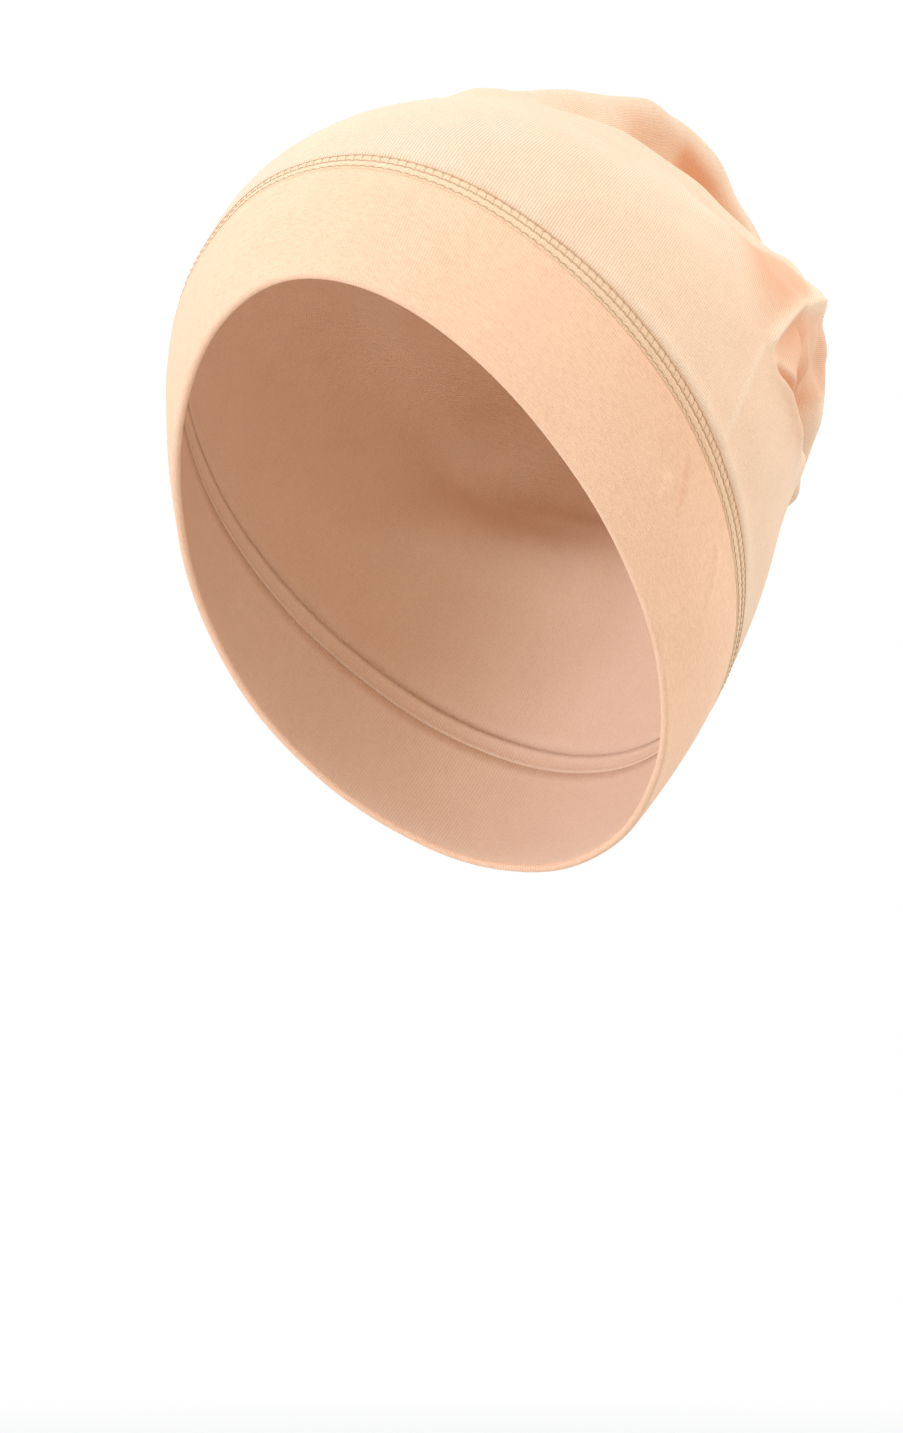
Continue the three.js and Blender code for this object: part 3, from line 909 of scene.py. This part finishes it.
def build_floor():
    """A pale floor far below the cap, which fades into the white of the studio."""
    mesh = bpy.data.meshes.new("floor")
    ends = ((-1, -1), (1, -1), (1, 1), (-1, 1))
    corners = [(x * FLOOR_HALF, y * FLOOR_HALF, FLOOR_HEIGHT) for x, y in ends]
    mesh.from_pydata(corners, [], [(0, 1, 2, 3)])
    floor = bpy.data.objects.new("floor", mesh)
    bpy.context.scene.collection.objects.link(floor)
    material = bpy.data.materials.new("pale_floor")
    add, join = node_tree(material)
    calc = calculator(add, join)
    place = add("ShaderNodeTexCoord").outputs["Object"]
    away = add("ShaderNodeVectorMath", operation="LENGTH")
    join(place, away.inputs[0])
    far = calc("MULTIPLY_ADD", away.outputs["Value"], 1.6, -1.0, clamp=True)
    near = add("ShaderNodeBsdfPrincipled")
    near.inputs["Base Color"].default_value = (FLOOR_GREY, FLOOR_GREY, FLOOR_GREY, 1)
    near.inputs["Roughness"].default_value = 0.7
    white = add("ShaderNodeEmission")
    white.inputs["Strength"].default_value = 1
    blend = add("ShaderNodeMixShader")
    join(far, blend.inputs[0])
    join(near.outputs[0], blend.inputs[1])
    join(white.outputs[0], blend.inputs[2])
    output = add("ShaderNodeOutputMaterial")
    join(blend.outputs[0], output.inputs["Surface"])
    mesh.materials.append(material)


def build_light():
    """A white studio: light from all round, more from above and behind, and one soft lamp."""
    scene = bpy.context.scene
    world = bpy.data.worlds.new("studio")
    scene.world = world
    world.use_nodes = True
    tree = world.node_tree
    tree.nodes.clear()
    way = tree.nodes.new("ShaderNodeTexCoord").outputs["Generated"]

    def towards(direction):
        """How far a direction of view points the given way."""
        made = tree.nodes.new("ShaderNodeVectorMath")
        made.operation = "DOT_PRODUCT"
        made.inputs[1].default_value = direction
        tree.links.new(way, made.inputs[0])
        return made.outputs["Value"]

    def work_out(operation, first, second):
        """A number worked out from two others."""
        made = tree.nodes.new("ShaderNodeMath")
        made.operation = operation
        tree.links.new(first, made.inputs[0])
        if isinstance(second, (int, float)):
            made.inputs[1].default_value = second
        else:
            tree.links.new(second, made.inputs[1])
        return made.outputs[0]

    rising = work_out("ADD", towards(STUDIO_SLOPE), STUDIO_LIGHT)
    side = work_out("MAXIMUM", towards(DIM_SIDE), 0.0)
    dimmed = work_out("MULTIPLY", work_out("POWER", side, 2.0), DIM)
    strength = work_out("SUBTRACT", rising, dimmed)
    even = tree.nodes.new("ShaderNodeBackground")
    height = work_out("MULTIPLY", towards((0, 0, 1)), 0.5)
    tint = tree.nodes.new("ShaderNodeMix")
    tint.data_type = "RGBA"
    tint.inputs[6].default_value = (*GROUND_TINT, 1)
    tint.inputs[7].default_value = (*SKY_TINT, 1)
    tree.links.new(work_out("ADD", height, 0.5), tint.inputs[0])
    tree.links.new(tint.outputs[2], even.inputs["Color"])
    seen = tree.nodes.new("ShaderNodeBackground")
    seen.inputs["Color"].default_value = (1, 1, 1, 1)
    path = tree.nodes.new("ShaderNodeLightPath")
    blend = tree.nodes.new("ShaderNodeMixShader")
    output = tree.nodes.new("ShaderNodeOutputWorld")
    tree.links.new(strength, even.inputs["Strength"])
    tree.links.new(path.outputs["Is Camera Ray"], blend.inputs[0])
    tree.links.new(even.outputs[0], blend.inputs[1])
    tree.links.new(seen.outputs[0], blend.inputs[2])
    tree.links.new(blend.outputs[0], output.inputs["Surface"])

    data = bpy.data.lights.new("key", "AREA")
    data.shape = "DISK"
    data.size = KEY_SIZE
    data.energy = KEY_POWER
    data.color = KEY_COLOR
    lamp = bpy.data.objects.new("key", data)
    lamp.location = KEY_PLACE
    away = np.array(KEY_PLACE) - np.array(KEY_TARGET)
    flat = math.hypot(away[0], away[1])
    lamp.rotation_euler = (math.atan2(flat, away[2]), 0, math.atan2(away[1], away[0]) + math.pi / 2)
    lamp.visible_camera = False
    scene.collection.objects.link(lamp)
    scene.view_settings.view_transform = "Standard"


def build_camera():
    """Level, at the photograph's angle and distance."""
    data = bpy.data.cameras.new("camera")
    data.lens = CAMERA_LENS
    data.sensor_width = SENSOR
    camera = bpy.data.objects.new("camera", data)
    camera.location = CAMERA_PLACE
    camera.rotation_euler = (math.pi / 2, 0, math.radians(CAMERA_TURN))
    bpy.context.scene.collection.objects.link(camera)
    bpy.context.scene.camera = camera


build_crown()
build_band()
build_strip()
build_threads()
build_floor()
build_light()
build_camera()
